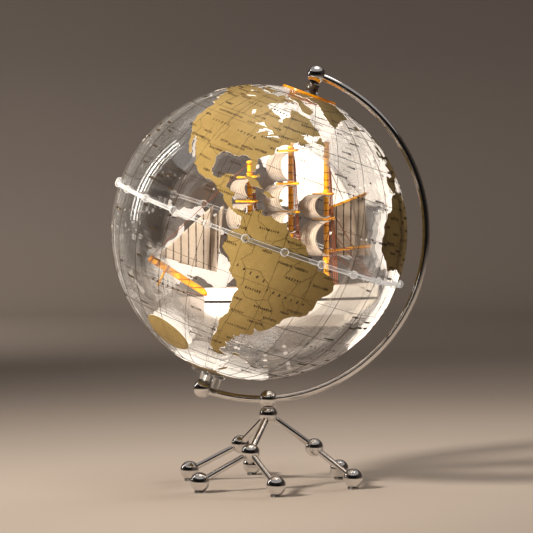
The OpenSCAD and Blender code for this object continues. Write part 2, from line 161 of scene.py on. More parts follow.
def link_mesh(name, verts, faces, material, smooth=True):
    mesh = bpy.data.meshes.new(name)
    mesh.from_pydata([tuple(v) for v in verts], [], faces)
    mesh.validate()
    mesh.materials.append(material)
    if smooth:
        mesh.shade_smooth()
    obj = bpy.data.objects.new(name, mesh)
    bpy.context.scene.collection.objects.link(obj)
    return obj


def piece(name, verts, faces, body, slot_name, smooth=True):
    """A new mesh that rides on a body and takes its look from a material slot."""
    obj = link_mesh(name, verts, faces, LOOKS[slot_name], smooth)
    bm = bmesh.new()
    bm.from_mesh(obj.data)
    bmesh.ops.recalc_face_normals(bm, faces=bm.faces)
    bm.to_mesh(obj.data)
    bm.free()
    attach(obj, body)
    return obj


def lathe(profile, base, axis, steps):
    """A surface of revolution from (radius, height) pairs, closed at the axis where a radius is 0."""
    side = axis.orthogonal().normalized()
    other = axis.cross(side)
    verts, faces, rings = [], [], []
    for r, h in profile:
        if r < 1e-9:
            rings.append([len(verts)])
            verts.append(base + axis * h)
            continue
        rings.append(list(range(len(verts), len(verts) + steps)))
        for k in range(steps):
            a = 2 * math.pi * k / steps
            verts.append(base + axis * h + (side * math.cos(a) + other * math.sin(a)) * r)
    for low, high in zip(rings, rings[1:]):
        for k in range(steps):
            n = (k + 1) % steps
            if len(low) == 1:
                faces.append((low[0], high[n], high[k]))
            elif len(high) == 1:
                faces.append((low[k], low[n], high[0]))
            else:
                faces.append((low[k], low[n], high[n], high[k]))
    return verts, faces


class Heap:
    """Collects verts and faces of many small solids for one mesh."""

    def __init__(self):
        self.verts, self.faces = [], []

    def add(self, verts, faces):
        start = len(self.verts)
        self.verts.extend(verts)
        self.faces.extend(tuple(start + i for i in f) for f in faces)


# ---- Materials ----

def srgb(r, g, b):
    return tuple(((c / 255 + 0.055) / 1.055) ** 2.4 if c > 10 else c / 255 / 12.92 for c in (r, g, b)) + (1,)


class Look:
    """A node material with short ways to add and join its nodes."""

    def __init__(self, name):
        self.mat = bpy.data.materials.new(name)
        self.mat.use_nodes = True
        self.nodes, self.links = self.mat.node_tree.nodes, self.mat.node_tree.links
        self.bsdf = self.nodes["Principled BSDF"]
        self.out = self.nodes["Material Output"]

    def node(self, kind, inputs=(), **values):
        """A new node. Its inputs, by name or number, are linked to sockets or set to plain values."""
        n = self.nodes.new(kind)
        for key, value in values.items():
            setattr(n, key, value)
        for key, value in dict(inputs).items():
            if isinstance(value, bpy.types.NodeSocket):
                self.links.new(value, n.inputs[key])
            else:
                n.inputs[key].default_value = value
        return n

    def set(self, **values):
        for key, value in values.items():
            self.bsdf.inputs[key.replace("_", " ")].default_value = value

    def feed(self, value, socket):
        self.links.new(value, self.bsdf.inputs[socket])

    def coord(self):
        return self.node("ShaderNodeTexCoord").outputs["Object"]

    def place(self, scale=(1, 1, 1)):
        return self.node("ShaderNodeMapping", {"Vector": self.coord(), "Scale": scale}).outputs["Vector"]

    def split(self, vector):
        return self.node("ShaderNodeSeparateXYZ", {0: vector}).outputs

    def along(self, direction):
        """How far a point lies along a direction."""
        ends = {0: self.coord(), 1: direction}
        return self.node("ShaderNodeVectorMath", ends, operation="DOT_PRODUCT").outputs["Value"]

    def noise(self, vector, scale, detail=4, rough=0.55):
        inputs = {"Vector": vector, "Scale": scale, "Detail": detail, "Roughness": rough}
        return self.node("ShaderNodeTexNoise", inputs).outputs["Fac"]

    def ramp(self, fac, low, high, from_at=0.3, to_at=0.7):
        r = self.node("ShaderNodeValToRGB", {"Fac": fac})
        r.color_ramp.elements[0].position, r.color_ramp.elements[0].color = from_at, low
        r.color_ramp.elements[1].position, r.color_ramp.elements[1].color = to_at, high
        return r.outputs["Color"]

    def span(self, fac, low, high, from_at=0.3, to_at=0.7):
        inputs = {"Value": fac, "From Min": from_at, "From Max": to_at, "To Min": low, "To Max": high}
        return self.node("ShaderNodeMapRange", inputs).outputs["Result"]

    def math(self, how, *values):
        return self.node("ShaderNodeMath", enumerate(values), operation=how).outputs[0]

    def mix(self, fac, a, b):
        return self.node("ShaderNodeMix", {0: fac, 6: a, 7: b}, data_type="RGBA").outputs[2]

    def relief(self, height, strength, distance):
        inputs = {"Height": height, "Strength": strength, "Distance": distance}
        return self.node("ShaderNodeBump", inputs).outputs["Normal"]

    def bump(self, height, strength, distance):
        self.feed(self.relief(height, strength, distance), "Normal")

    def blend(self, fac, a, b):
        """One shader node mixed with another."""
        return self.node("ShaderNodeMixShader", {0: fac, 1: a.outputs[0], 2: b.outputs[0]})

    def show(self, shader):
        self.links.new(shader.outputs[0], self.out.inputs["Surface"])


def room_material():
    """Warm grey paint with a faint painted pool of light on the floor round the globe, a little darker up the
    wall, and dark behind the camera.
    """
    look = Look("studio_paint")
    place = look.place()
    x, y, z = look.split(place)
    far = look.math("SQRT", look.math("ADD", look.math("POWER", x, 2), look.math("POWER", y, 2)))
    # Painted pool of light: the floor colour fades from the pool colour to the far colour between 0.40 and 0.72 m
    # out, its edge shaken by noise; the two colours now differ only slightly.
    patch = look.noise(place, 1.6, 2)
    edge = look.math("ADD", far, look.math("MULTIPLY", patch, 0.25))
    painted_pool_fade = look.span(edge, 0.0, 1.0, 0.40, 0.72)
    rise = look.span(z, 0.0, 1.0, 0.0, 0.5)
    pool_floor, taupe, dim = srgb(146, 135, 125), srgb(146, 134, 124), srgb(34, 31, 29)
    wall = srgb(128, 118, 112)
    front = look.math("MULTIPLY", look.span(y, 1, 0, -2.2, -0.2), look.span(far, 0, 1, 1.6, 2.6))
    base = look.mix(front, look.mix(rise, look.mix(painted_pool_fade, pool_floor, taupe), wall), dim)
    look.feed(base, "Base Color")
    look.set(Roughness=0.6, Specular_IOR_Level=0.35)
    look.bump(look.noise(place, 900, 3), 0.05, 0.0004)
    return look.mat


def chrome(name, tint, low, high, grain):
    look = Look(name)
    place = look.place()
    look.set(Base_Color=tint, Metallic=1.0)
    smear = look.noise(place, 90, 5)
    look.feed(look.span(smear, low, high), "Roughness")
    look.bump(look.noise(place, grain, 4), 0.02, 0.0001)
    return look.mat


def clear(name, tint, rough, edge_power, haze, fall, least=0.0, milk_share=1.0, painted_glow=0.0):
    """Clear plastic that light and sight pass straight through. Its gloss and a milky haze, which may carry a
    painted glow, grow towards the edge."""
    look = Look(name)
    look.nodes.remove(look.bsdf)
    place = look.place()
    dull = look.span(look.noise(place, 60, 5), rough * 0.5, rough * 1.6)
    wave = look.relief(look.noise(place, 22, 3), 0.08, 0.0006)
    gloss = look.node("ShaderNodeBsdfGlossy", {"Color": (1, 1, 1, 1), "Roughness": dull, "Normal": wave})
    facing = look.node("ShaderNodeLayerWeight", {"Blend": 0.5}).outputs["Facing"]
    see_colour = look.ramp(facing, tint, tuple(c * 0.93 for c in tint[:3]) + (1,), 0.6, 1.0)
    see = look.node("ShaderNodeBsdfTransparent", {"Color": see_colour})
    fresnel = look.node("ShaderNodeFresnel", {"IOR": 1.49}).outputs[0]
    amount = look.math("MINIMUM", look.math("MULTIPLY", fresnel, edge_power), 0.85)
    milk_colour = tuple(c * milk_share for c in (0.95, 0.92, 0.88)) + (1,)
    milk = look.node("ShaderNodeBsdfDiffuse", {"Color": milk_colour})
    # Painted glow: an emission in the haze that brightens it as if lit, though the plastic is no lamp.
    lit = look.node("ShaderNodeEmission", {"Color": (1.0, 0.96, 0.91, 1), "Strength": painted_glow})
    both = look.node("ShaderNodeAddShader", {0: milk.outputs[0], 1: lit.outputs[0]})
    cloudy = look.math("MULTIPLY", look.math("POWER", facing, fall), haze)
    look.show(look.blend(look.math("MAXIMUM", cloudy, least), look.blend(amount, see, gloss), both))
    return look.mat


def glass(name, tint, rough):
    look = Look(name)
    place = look.place()
    look.set(Base_Color=tint, IOR=1.47, Transmission_Weight=1.0)
    smear = look.noise(place, 120, 4)
    look.feed(look.span(smear, rough * 0.4, rough * 1.5), "Roughness")
    look.bump(look.noise(place, 60, 3), 0.06, 0.0005)
    return look.mat


def amber(name):
    look = Look(name)
    place = look.place()
    cloud = look.noise(place, 160, 4)
    look.feed(look.ramp(cloud, srgb(178, 112, 2), srgb(230, 162, 16)), "Base Color")
    look.set(Transmission_Weight=0.55, IOR=1.49)
    look.feed(look.span(look.noise(place, 90), 0.08, 0.25), "Roughness")
    # Painted glow: a faint amber emission standing in for light caught at the cap's edges; the cap is no lamp.
    look.set(Emission_Color=srgb(255, 150, 20), Emission_Strength=0.10)
    look.bump(look.noise(place, 500, 3), 0.08, 0.0002)
    return look.mat


def smoked(name):
    look = Look(name)
    place = look.place()
    look.feed(look.ramp(look.noise(place, 200), srgb(34, 28, 24), srgb(70, 58, 48)), "Base Color")
    look.set(Transmission_Weight=0.35)
    look.feed(look.span(look.noise(place, 80), 0.1, 0.28), "Roughness")
    look.bump(look.noise(place, 400), 0.05, 0.0002)
    return look.mat


def gold_ink(name):
    look = Look(name)
    place = look.place()
    broad = look.noise(place, 28, 5, 0.6)
    fine = look.noise(place, 1500, 2)
    base = look.ramp(broad, srgb(108, 88, 48), srgb(128, 107, 64), 0.35, 0.65)
    speck = look.ramp(fine, srgb(94, 76, 40), srgb(140, 119, 74), 0.3, 0.7)
    look.feed(look.mix(0.35, base, speck), "Base Color")
    look.set(Metallic=0.15, Specular_IOR_Level=0.35)
    look.feed(look.span(fine, 0.40, 0.58), "Roughness")
    look.bump(fine, 0.12, 0.0001)
    return look.mat


def paint(name, low, high, scale, painted_glow=0.0):
    look = Look(name)
    place = look.place()
    look.feed(look.ramp(look.noise(place, scale, 5), low, high), "Base Color")
    look.feed(look.span(look.noise(place, scale * 3), 0.5, 0.7), "Roughness")
    # Painted glow: a warm white emission that brightens the paint as if lit; the paint is no lamp.
    if painted_glow:
        look.set(Emission_Color=(1.0, 0.95, 0.88, 1), Emission_Strength=painted_glow)
    look.bump(look.noise(place, 600, 3), 0.06, 0.0002)
    return look.mat


# The wale line: its height from the globe's centre and its half width in mm, and its rise along the ship
STRIPE_LOW, STRIPE_HALF, STRIPE_RISE = -46.2, 0.9, 0.0208


def hull_paint(name, low, high, striped=True):
    """White paint over planks, with a black wale line that rises a little towards the stern."""
    look = Look(name)
    place = look.place()
    base = look.ramp(look.noise(place, 45, 5), low, high)
    height = look.math("SUBTRACT", look.split(look.coord())[2], GLOBE_AT.z)
    line = look.math("ADD", height, look.math("MULTIPLY", look.along(SHIP_X), STRIPE_RISE))
    grooves = look.math("PINGPONG", height, 1.6 * MM)
    if striped:
        off = look.math("ABSOLUTE", look.math("SUBTRACT", line, STRIPE_LOW * MM))
        mask = look.math("LESS_THAN", off, STRIPE_HALF * MM)
        base = look.mix(mask, base, srgb(30, 27, 26))
    look.feed(base, "Base Color")
    look.feed(look.span(look.noise(place, 130), 0.35, 0.5), "Roughness")
    look.bump(look.math("MULTIPLY", grooves, 400), 0.10, 0.0003)
    return look.mat


def wood(name, low, high, along, plank=0.0, coat=0.0, painted_glow=0.0, winding=0.0):
    """Grain that runs along one axis, with plank joints or rope windings where their pitch is given."""
    look = Look(name)
    stretch = [260, 260, 260]
    stretch[along] = 26
    place = look.place(scale=tuple(stretch))
    grain = look.noise(place, 1.0, 6, 0.65)
    colour = look.ramp(grain, low, high, 0.32, 0.68)
    height = grain
    if plank:
        share = look.math("FRACT", look.math("DIVIDE", look.along(SHIP_Y), plank))
        joint = look.math("LESS_THAN", share, 0.12)
        colour = look.mix(joint, colour, srgb(60, 38, 20))
        height = look.math("SUBTRACT", grain, joint)
    if winding:
        wavy = look.math("ADD", look.split(look.coord())[2], look.math("MULTIPLY", grain, winding * 0.5))
        ring = look.math("LESS_THAN", look.math("FRACT", look.math("DIVIDE", wavy, winding)), 0.16)
        colour = look.mix(ring, colour, srgb(142, 78, 14))
        height = look.math("ADD", grain, ring)
    look.feed(colour, "Base Color")
    look.feed(look.span(grain, 0.28, 0.5), "Roughness")
    look.set(Coat_Weight=coat, Coat_Roughness=0.08)
    # Painted glow: an orange emission that brightens the wood as if lit by warm light; the wood is no lamp.
    if painted_glow:
        look.set(Emission_Color=srgb(255, 150, 20), Emission_Strength=painted_glow)
    look.bump(height, 0.15, 0.0002)
    return look.mat


SEAM_STEP, SEAM_SHARE, WEAVE_STEP = 3.2 * MM, 0.18, 0.45 * MM


def sail_cloth(name):
    """Cream cotton with a fine weave and dark sewn seams, laid out on the cloth's own UV map."""
    look = Look(name)
    across, down, _ = look.split(look.node("ShaderNodeUVMap", uv_map="cloth").outputs[0])
    place = look.place()
    stain = look.noise(place, 70, 5)
    base = look.ramp(stain, srgb(180, 164, 146), srgb(210, 196, 180))
    share = look.math("FRACT", look.math("DIVIDE", across, SEAM_STEP))
    seam = look.math("LESS_THAN", share, SEAM_SHARE)
    worn = look.span(look.noise(place, 420, 3), 0.55, 1.0)
    base = look.mix(look.math("MULTIPLY", seam, worn), base, srgb(40, 20, 10))
    look.feed(base, "Base Color")
    look.feed(look.span(stain, 0.75, 0.9), "Roughness")
    look.set(Sheen_Weight=0.3, Specular_IOR_Level=0.25)
    warp, weft = (look.math("SINE", look.math("MULTIPLY", way, 2 * math.pi / WEAVE_STEP))
                  for way in (across, down))
    threads = look.math("ADD", warp, weft)
    look.bump(look.math("ADD", threads, look.math("MULTIPLY", seam, 3)), 0.25, 0.00008)
    thin = look.node("ShaderNodeBsdfTranslucent", {"Color": base})
    look.show(look.blend(0.4, look.bsdf, thin))
    return look.mat


def thread(name, low, high):
    look = Look(name)
    wave = look.node("ShaderNodeTexWave", {"Vector": look.place(), "Scale": 700, "Distortion": 1.5},
                     wave_type="BANDS", bands_direction="DIAGONAL")
    twist = wave.outputs["Fac"]
    look.feed(look.ramp(twist, low, high), "Base Color")
    look.set(Roughness=0.85)
    look.bump(twist, 0.5, 0.0001)
    return look.mat


LOOKS = {
    "clear_silicone": glass("clear_silicone", (0.95, 0.95, 0.94, 1), 0.25),
    "chrome_ball": chrome("chrome_ball", (0.80, 0.79, 0.78, 1), 0.02, 0.06, 300),
    "chrome_rod": chrome("chrome_rod", (0.78, 0.77, 0.765, 1), 0.04, 0.10, 500),
    "clear_fitting": glass("clear_fitting", (0.97, 0.97, 0.96, 1), 0.06),
    "clear_shell": clear("clear_shell", (0.985, 0.98, 0.975, 1), 0.03, edge_power=0.7, haze=0.05, fall=3),
    # The ring's haze carries a painted glow that brightens its rods and beads as if more strongly lit.
    "ring_clear": clear("ring_clear", (0.98, 0.98, 0.97, 1), 0.03, edge_power=0.8, haze=0.75, fall=1.4,
                        least=0.05, milk_share=0.45, painted_glow=0.5),
    "amber_cap": amber("amber_cap"),
    "smoked_boss": smoked("smoked_boss"),
    "map_gold": gold_ink("map_gold"),
    # The white land backing carries a painted glow, standing in for the strong light that falls on it through the
    # clear shell.
    "map_white": paint("map_white", srgb(240, 234, 226), srgb(252, 249, 244), 30, painted_glow=0.6),
    "map_ink": paint("map_ink", srgb(34, 24, 12), srgb(58, 42, 22), 60),
    "hull_white": hull_paint("hull_white", srgb(226, 220, 212), srgb(246, 242, 236)),
    # A darker grey copy of the white hull paint, without the wale line: painted shade for the hull parts that take
    # this slot.
    "hull_grey": hull_paint("hull_grey", srgb(176, 166, 158), srgb(196, 186, 178), striped=False),
    "deck_wood": wood("deck_wood", srgb(150, 100, 52), srgb(206, 156, 96), along=0, plank=2.6 * MM),
    # The spars carry a faint painted glow standing in for warm light from above.
    "spar_gold": wood("spar_gold", srgb(206, 128, 8), srgb(246, 188, 40), along=2, coat=0.7, painted_glow=0.08,
                      winding=5.2 * MM),
    "sail_cloth": sail_cloth("sail_cloth"),
    "shroud_thread": thread("shroud_thread", srgb(110, 52, 24), srgb(168, 92, 48)),
    "stay_thread": thread("stay_thread", srgb(84, 46, 30), srgb(140, 82, 52)),
}


def dress_cad():
    """Gives each CAD node the material of its slot in the record."""
    for part in frame["record"]["subparts"]:
        data = frame["nodes"][part["node"]].data
        data.materials.clear()
        data.materials.append(LOOKS[part["material_slot"]])


# ---- The printed map ----

MID_LON = -78.2
LAT_SHARE = 0.95
PRINT_LOW, PRINT_MID, PRINT_TOP, INK_TOP = (GLOBE_R + h * MM for h in (-0.16, 0.05, 0.10, 0.14))
# A land's inner points, in degrees between them and in shares of that to the next row and from the shore
INNER_STEP, ROW_SHARE, SHORE_SHARE = 3.4, 0.87, 0.4
COAST_STEP = 1.3


def aim(lon, lat):
    """Unit direction from the globe's centre to a place on the map."""
    a, b = (lon - MID_LON) * DEG, lat * LAT_SHARE * DEG
    return (EAST_AXIS * math.sin(a) - BACK_AXIS * math.cos(a)) * math.cos(b) + AXIS * math.sin(b)


# Outlines of land and water, as longitude and latitude in degrees
NORTH_AMERICA = [
    (-168, 66), (-161, 64), (-166, 62), (-162, 59), (-158, 58), (-163, 55), (-154, 58), (-151, 60),
    (-145, 60), (-138, 59), (-133, 56), (-130, 53), (-127, 50), (-124, 48), (-124, 43), (-124, 40),
    (-122, 37), (-120, 34.5), (-117, 32.5), (-115.5, 30), (-114.5, 28), (-112, 25.5), (-110, 23),
    (-109.5, 23.5), (-111, 26), (-113, 29), (-114.8, 31.5), (-112.5, 30.5), (-110, 27), (-108, 25),
    (-105.5, 22), (-105.5, 20), (-102, 18), (-97, 16), (-94, 16), (-91, 14), (-87.5, 13), (-85.5, 10),
    (-83, 8.5), (-80, 7.3), (-78, 7), (-77, 8.7), (-79.5, 9.5), (-82, 9), (-83.5, 11), (-83.5, 15),
    (-88, 15.8), (-88, 18.5), (-87, 21.4), (-90.3, 21), (-91.5, 18.6), (-94.5, 18.2), (-97, 20.5),
    (-97.6, 25), (-97, 28), (-94, 29.5), (-90, 29.2), (-88, 30.3), (-84, 30), (-82.7, 28), (-81.5, 25.3),
    (-80.2, 25.5), (-80.5, 28), (-81.3, 31), (-78, 34), (-75.5, 35.5), (-76, 38), (-74, 40.5), (-70, 41.7),
    (-70.5, 43.5), (-67, 45), (-65, 43.7), (-60.5, 46), (-65, 47.5), (-64.5, 49), (-68, 49), (-60, 50.3),
    (-56, 52), (-57.5, 54.5), (-61.5, 57), (-64.5, 60.2), (-70, 61), (-73.5, 62.3), (-78, 62.3),
    (-77.5, 58.5), (-76.5, 56.5), (-79.5, 54.5), (-79, 52), (-81.5, 52), (-82.3, 55), (-88, 56.5),
    (-94, 58.7), (-94.5, 61), (-90, 63.5), (-87, 64.5), (-86, 67), (-81.5, 67.5), (-82, 69.5), (-90, 69),
    (-94, 72), (-96, 68), (-108, 68), (-115, 69), (-125, 70), (-136, 69), (-149, 70.5), (-157, 71.3),
    (-165, 68.8)]
SOUTH_AMERICA = [
    (-77.5, 8.7), (-75, 11), (-71.5, 12.3), (-71.5, 10.5), (-68, 11.5), (-62, 10.7), (-57.5, 6.3),
    (-52, 5), (-50, 1.5), (-48.5, -1), (-44.3, -2.6), (-39, -3.2), (-35.3, -5.5), (-34.8, -8),
    (-37, -11.5), (-39, -14), (-39, -17.5), (-40.5, -21.5), (-43, -23), (-46, -24), (-48.5, -26),
    (-48.8, -28.5), (-52, -33), (-55, -35), (-58, -34), (-57, -36.3), (-57.7, -38.3), (-62, -39),
    (-62.3, -40.8), (-65, -41), (-64, -42.5), (-65.5, -45), (-67.5, -46.3), (-65.8, -48), (-69, -51),
    (-68.5, -52.5), (-65.2, -54.7), (-68.5, -55.5), (-72.5, -54), (-75, -51), (-74.5, -47), (-73, -42),
    (-73.5, -37.5), (-71.5, -32), (-71.3, -28), (-70.3, -20), (-71.8, -17.3), (-76, -14), (-79, -8),
    (-81.2, -6), (-80.9, -4.2), (-80, -3), (-80.9, -1), (-80, 1), (-78.7, 1.8), (-77.2, 4), (-77.7, 7)]
AFRICA = [
    (-5.9, 35.8), (3, 36.9), (10, 37.3), (10.5, 34), (15, 32.3), (19.5, 30.3), (23, 32.8), (29, 31),
    (34, 31.2), (35, 28), (37.3, 22), (39, 16), (43, 12.5), (44.5, 10.5), (51, 12), (48, 4.5), (41.5, -2),
    (39, -7), (40.7, -14.5), (35, -20), (35.5, -24), (32.7, -26), (30, -31.5), (25.5, -34), (20, -34.8),
    (18, -32.5), (15, -27), (12, -18), (13.5, -11), (9, -1), (9.5, 4), (5, 4.5), (1, 6), (-4, 5.2),
    (-8, 4.4), (-13.3, 9), (-17, 14.7), (-16.3, 19), (-17, 21.5), (-13, 27.5), (-9.7, 30), (-9.3, 32.5)]
EURASIA = [
    (-9.3, 38.7), (-9, 43.2), (-1.5, 43.5), (-1.5, 46), (-4.6, 48.5), (1.6, 50.5), (4.5, 52.5), (8.5, 54),
    (8.3, 57), (10.5, 57.5), (10.5, 54.5), (14, 54), (19, 54.5), (21.5, 57.5), (24, 59.2), (29, 60),
    (22.5, 60.3), (21.5, 63), (25, 65.2), (21.5, 64.5), (17.5, 61.5), (18.5, 59.8), (16.5, 57), (13, 55.5),
    (11, 59), (7, 58), (5, 61), (10, 64), (15, 68.5), (25, 71), (31, 70), (41, 67), (40, 65), (35, 64.5),
    (44, 66.2), (46, 68.3), (55, 68.6), (60, 69), (68, 69), (67, 72), (73, 72.7), (73, 68), (76, 72),
    (87, 75), (104, 77.6), (113, 74), (128, 72.5), (140, 72.5), (160, 69.8), (170, 69.5), (180, 68.8),
    (190, 66), (182, 64.5), (178, 62.5), (170, 60), (163, 58), (162, 55), (156.7, 51), (156, 57),
    (163, 62.5), (155, 59.5), (142, 59.3), (135, 54.8), (141, 52.5), (140, 48), (135, 43.5), (130.5, 42.5),
    (127.5, 40), (129.4, 37), (128.8, 35), (126.3, 34.5), (126.5, 37.5), (124.5, 40), (121.5, 39),
    (121.5, 40.8), (118, 39), (122, 37), (119, 35), (122, 31.5), (121.5, 28), (118, 24.5), (113.5, 22.3),
    (110, 21), (108, 21.5), (106, 19), (109, 13), (109, 11.5), (105, 8.7), (105, 10.5), (101, 13),
    (99.5, 9.5), (103.3, 4.5), (104, 1.4), (101.5, 2.5), (98.3, 8), (98.5, 13), (97, 17), (94.5, 16),
    (92, 21.5), (88, 21.7), (85, 19.5), (80.3, 15.5), (80, 12), (77.5, 8), (74.5, 14), (72.8, 20),
    (69.5, 22), (67, 25), (61.5, 25.2), (57, 26.5), (54, 26.6), (50.5, 29.8), (48.5, 29.7), (51, 25),
    (51.5, 24.5), (54, 24.2), (56.3, 26), (59.8, 22.3), (55, 17.5), (52, 15.5), (45, 12.8), (43.2, 13.5),
    (39, 20.5), (35, 28), (34.4, 31.3), (36, 36), (31, 36.5), (27.5, 37), (26.5, 39.5), (29, 41), (35, 42),
    (41.5, 41.5), (37, 45), (39, 47), (34, 46), (31, 46.5), (28.7, 44), (28, 41.5), (24, 40.8), (23, 38),
    (22, 36.7), (19.5, 40), (19.5, 42), (14, 45), (12.5, 44.5), (18.5, 40.2), (16, 38.2), (12, 42),
    (9, 44.3), (5, 43.3), (3.2, 42.5), (0, 39.5), (-2, 36.8), (-5.6, 36.1), (-6.8, 37.2)]
AUSTRALIA = [
    (113.7, -22.5), (117, -20.7), (122, -18), (126, -14), (130, -12.5), (132.5, -11.3), (136, -12.2),
    (135.5, -15), (140, -17.6), (141.6, -12.6), (142.5, -10.7), (144, -14.5), (146.3, -19), (149.5, -22.3),
    (153, -25.5), (153.3, -30), (150, -37.4), (146.4, -39), (143.5, -38.8), (140, -37.8), (138, -35),
    (135.5, -34.8), (131.5, -31.5), (124, -33), (118, -35), (115, -34.2), (115.7, -31.5), (113.5, -26.5)]
ANTARCTICA = [
    (-58, -64), (-62, -68), (-63, -74), (-75, -76), (-100, -77), (-130, -77), (-158, -79), (178, -78),
    (168, -72), (150, -68.5), (130, -66.2), (110, -66.3), (90, -66.8), (70, -69.5), (55, -66.2),
    (30, -69.5), (0, -70.5), (-15, -73), (-35, -78), (-60, -77), (-61, -70), (-57, -65)]
GREENLAND = [
    (-73, 78.3), (-66, 76), (-58, 75.5), (-54, 70), (-52, 66), (-49, 61.5), (-44, 60), (-41, 63),
    (-37, 65.8), (-30, 68), (-23, 70), (-20, 74), (-19, 78), (-13, 81.5), (-25, 83), (-40, 83), (-60, 82),
    (-66, 80)]
ISLANDS = [
    [(-80, 73.5), (-73, 71), (-67, 69), (-62, 66.5), (-65, 62.5), (-71, 63.5), (-73, 66), (-78, 69.5),
     (-88, 71), (-88, 73.5)],
    [(-117, 69.5), (-105, 69), (-105, 73), (-118, 73)],
    [(-88, 77), (-78, 76.5), (-70, 80), (-62, 82.5), (-75, 83), (-90, 81)],
    [(-125, 72), (-120, 71.5), (-118, 74), (-124, 74.2)],
    [(-59, 47.7), (-53, 46.8), (-53, 48.5), (-55.7, 51.3)],
    [(-84.8, 22), (-82, 22.9), (-77, 22), (-74.5, 20.3), (-77.5, 19.9), (-82, 21.8)],
    [(-74.3, 18.5), (-73, 19.9), (-68.5, 18.7), (-71.5, 17.8)],
    [(-24, 65.5), (-20, 63.5), (-14, 64.7), (-15.5, 66.4), (-21, 65.8)],
    [(-5.5, 50), (1.3, 51.3), (0, 53.5), (-2, 57.5), (-5, 58.5), (-6, 56), (-3, 54), (-4.5, 52)],
    [(-10, 52), (-6.3, 52.3), (-6, 55), (-9.5, 54.2)],
    [(44, -25), (43.3, -22), (44.3, -17), (49, -12), (50.3, -15.5), (47, -25)],
    [(131, 34), (136, 35.6), (140, 38.5), (141.5, 41.3), (141.8, 39), (140.5, 35.8), (135.8, 33.6)],
    [(140, 41.7), (141.7, 45.4), (145.3, 43.5), (143, 42)],
    [(130, 32), (131, 31.3), (131.8, 33.5), (130, 33.7)],
    [(142, 46), (143.5, 49.5), (142.7, 54), (141.8, 50)],
    [(120.3, 16), (122, 18.4), (121.5, 14.2), (124, 12.8), (120.8, 14)],
    [(122, 7.2), (125.5, 9.7), (126.3, 7), (124.5, 6)],
    [(109, 1.5), (113, 3), (117, 7), (119, 5), (117.5, 1), (116, -4), (111, -3), (109.5, -0.5)],
    [(95.3, 5.5), (100, 2.5), (103.5, -1), (106, -3.5), (105.5, -5.8), (101, -2.5), (98, 1.8)],
    [(105.3, -6.7), (110, -6.6), (114.5, -7.8), (110, -8.1)],
    [(119, -3), (120, 0.8), (124.8, 1.2), (121, -1), (122.7, -4.5), (120.3, -3), (119.8, -5.5)],
    [(131, -0.8), (134, -3.3), (138, -1.6), (144.5, -4), (147.8, -6.8), (150.8, -10.3), (146.5, -8.8),
     (143, -9), (138, -8.3), (137.8, -5.3), (132.8, -4)],
    [(144.7, -40.8), (148.3, -41), (147.5, -43.5), (146, -43.4)],
    [(172.8, -34.5), (175.5, -36.8), (178.5, -37.7), (176, -41.3), (174, -39.3), (174.8, -37.5)],
    [(172.8, -40.6), (174.2, -41.8), (170.8, -46), (168.5, -46.6), (166.5, -45.8), (170.5, -43)],
    [(79.8, 8), (81.8, 7.5), (80.5, 6)],
    [(51.5, 71.5), (57, 74), (68, 76.8), (60, 75.5), (56, 72.5)],
    [(12, 79.8), (20, 80), (25, 79), (16, 76.8)]]
LAKES = [
    [(-92, 46.7), (-88, 48.7), (-84.7, 46.6), (-88, 46.6)],
    [(-87.8, 42), (-87.6, 44.5), (-85.5, 46), (-82, 46), (-80, 44.6), (-82.3, 43), (-83.7, 45.2),
     (-86.3, 43.5)], [(-83.3, 41.6), (-79, 43), (-76.3, 43.7), (-78, 44.2), (-81, 42.9)],
    [(-99.3, 53.3), (-97.3, 50.5), (-96.2, 51.5), (-97.8, 54)],
    [(-117, 61), (-112, 62.8), (-109, 62.5), (-114, 60.8)], [(-124, 65.5), (-119, 67), (-118.5, 65.5)],
    [(47.5, 45), (53, 46.5), (51, 44), (53, 40), (54, 37), (50, 37.5), (49.8, 41)],
    [(32, -2.5), (34, -2), (34, 0.3), (32, 0)], [(104, 51.6), (109, 55), (110, 55), (107, 52)]]
# Small islands: longitude, latitude and radius in degrees
SPECKS = [
    (-156, 20, 0.9), (-159.5, 22, 0.5), (178, -17.8, 0.9), (-172, -13.7, 0.6), (-149.5, -17.6, 0.6),
    (-140, -9, 0.5), (160, -9.2, 1.0), (156, -6.8, 0.9), (151.5, -5.2, 1.1), (167, -15.5, 0.8),
    (165.3, -21.3, 1.1), (-91, -0.5, 0.8), (-59.5, -51.8, 1.0), (-57.8, -51.7, 0.7), (-25.5, 37.7, 0.5),
    (-16, 28.3, 0.6), (-14, 28.5, 0.5), (-23.6, 15.1, 0.5), (-61, 15, 0.4), (-61.3, 13.4, 0.4),
    (-61.4, 10.4, 0.5), (-66.5, 18.2, 0.7), (-77.3, 18.1, 0.8), (-78, 24.5, 0.7), (-176, 52, 0.5),
    (-169, 53, 0.6), (145, 15, 0.5), (134.5, 7.5, 0.4), (128, 0.8, 0.9), (129.5, -3.2, 1.0),
    (124.8, -9.2, 1.0), (120, -8.6, 0.9), (118.5, 9.8, 0.9), (123.5, 10.5, 0.9), (121, 23.7, 1.1),
    (110, 19.2, 1.1), (55.6, -21.1, 0.5), (57.6, -20.3, 0.5), (70, -49.3, 0.8), (-36.8, -54.3, 0.8),
    (-45, -60.6, 0.5), (33.2, 35, 0.6), (14, 37.5, 0.9), (9, 40, 0.8), (9, 42.2, 0.6), (25, 35.2, 0.7),
    (152, -3.5, 0.8), (162, -10.4, 0.7), (169, -19, 0.5), (-175, -20, 0.5), (158, 53, 0.1),
    (-153, 57.5, 0.9), (-132, 53.3, 0.8), (-127, 50, 0.9), (173, 1.5, 0.4), (171, 7, 0.4), (166, 8.5, 0.4),
    (158.2, 6.9, 0.5), (151.8, 7.4, 0.4), (-110, -27, 0.3), (144.8, 13.4, 0.4), (155, -24, 0.2),
    (-5.7, -16, 0.3)]


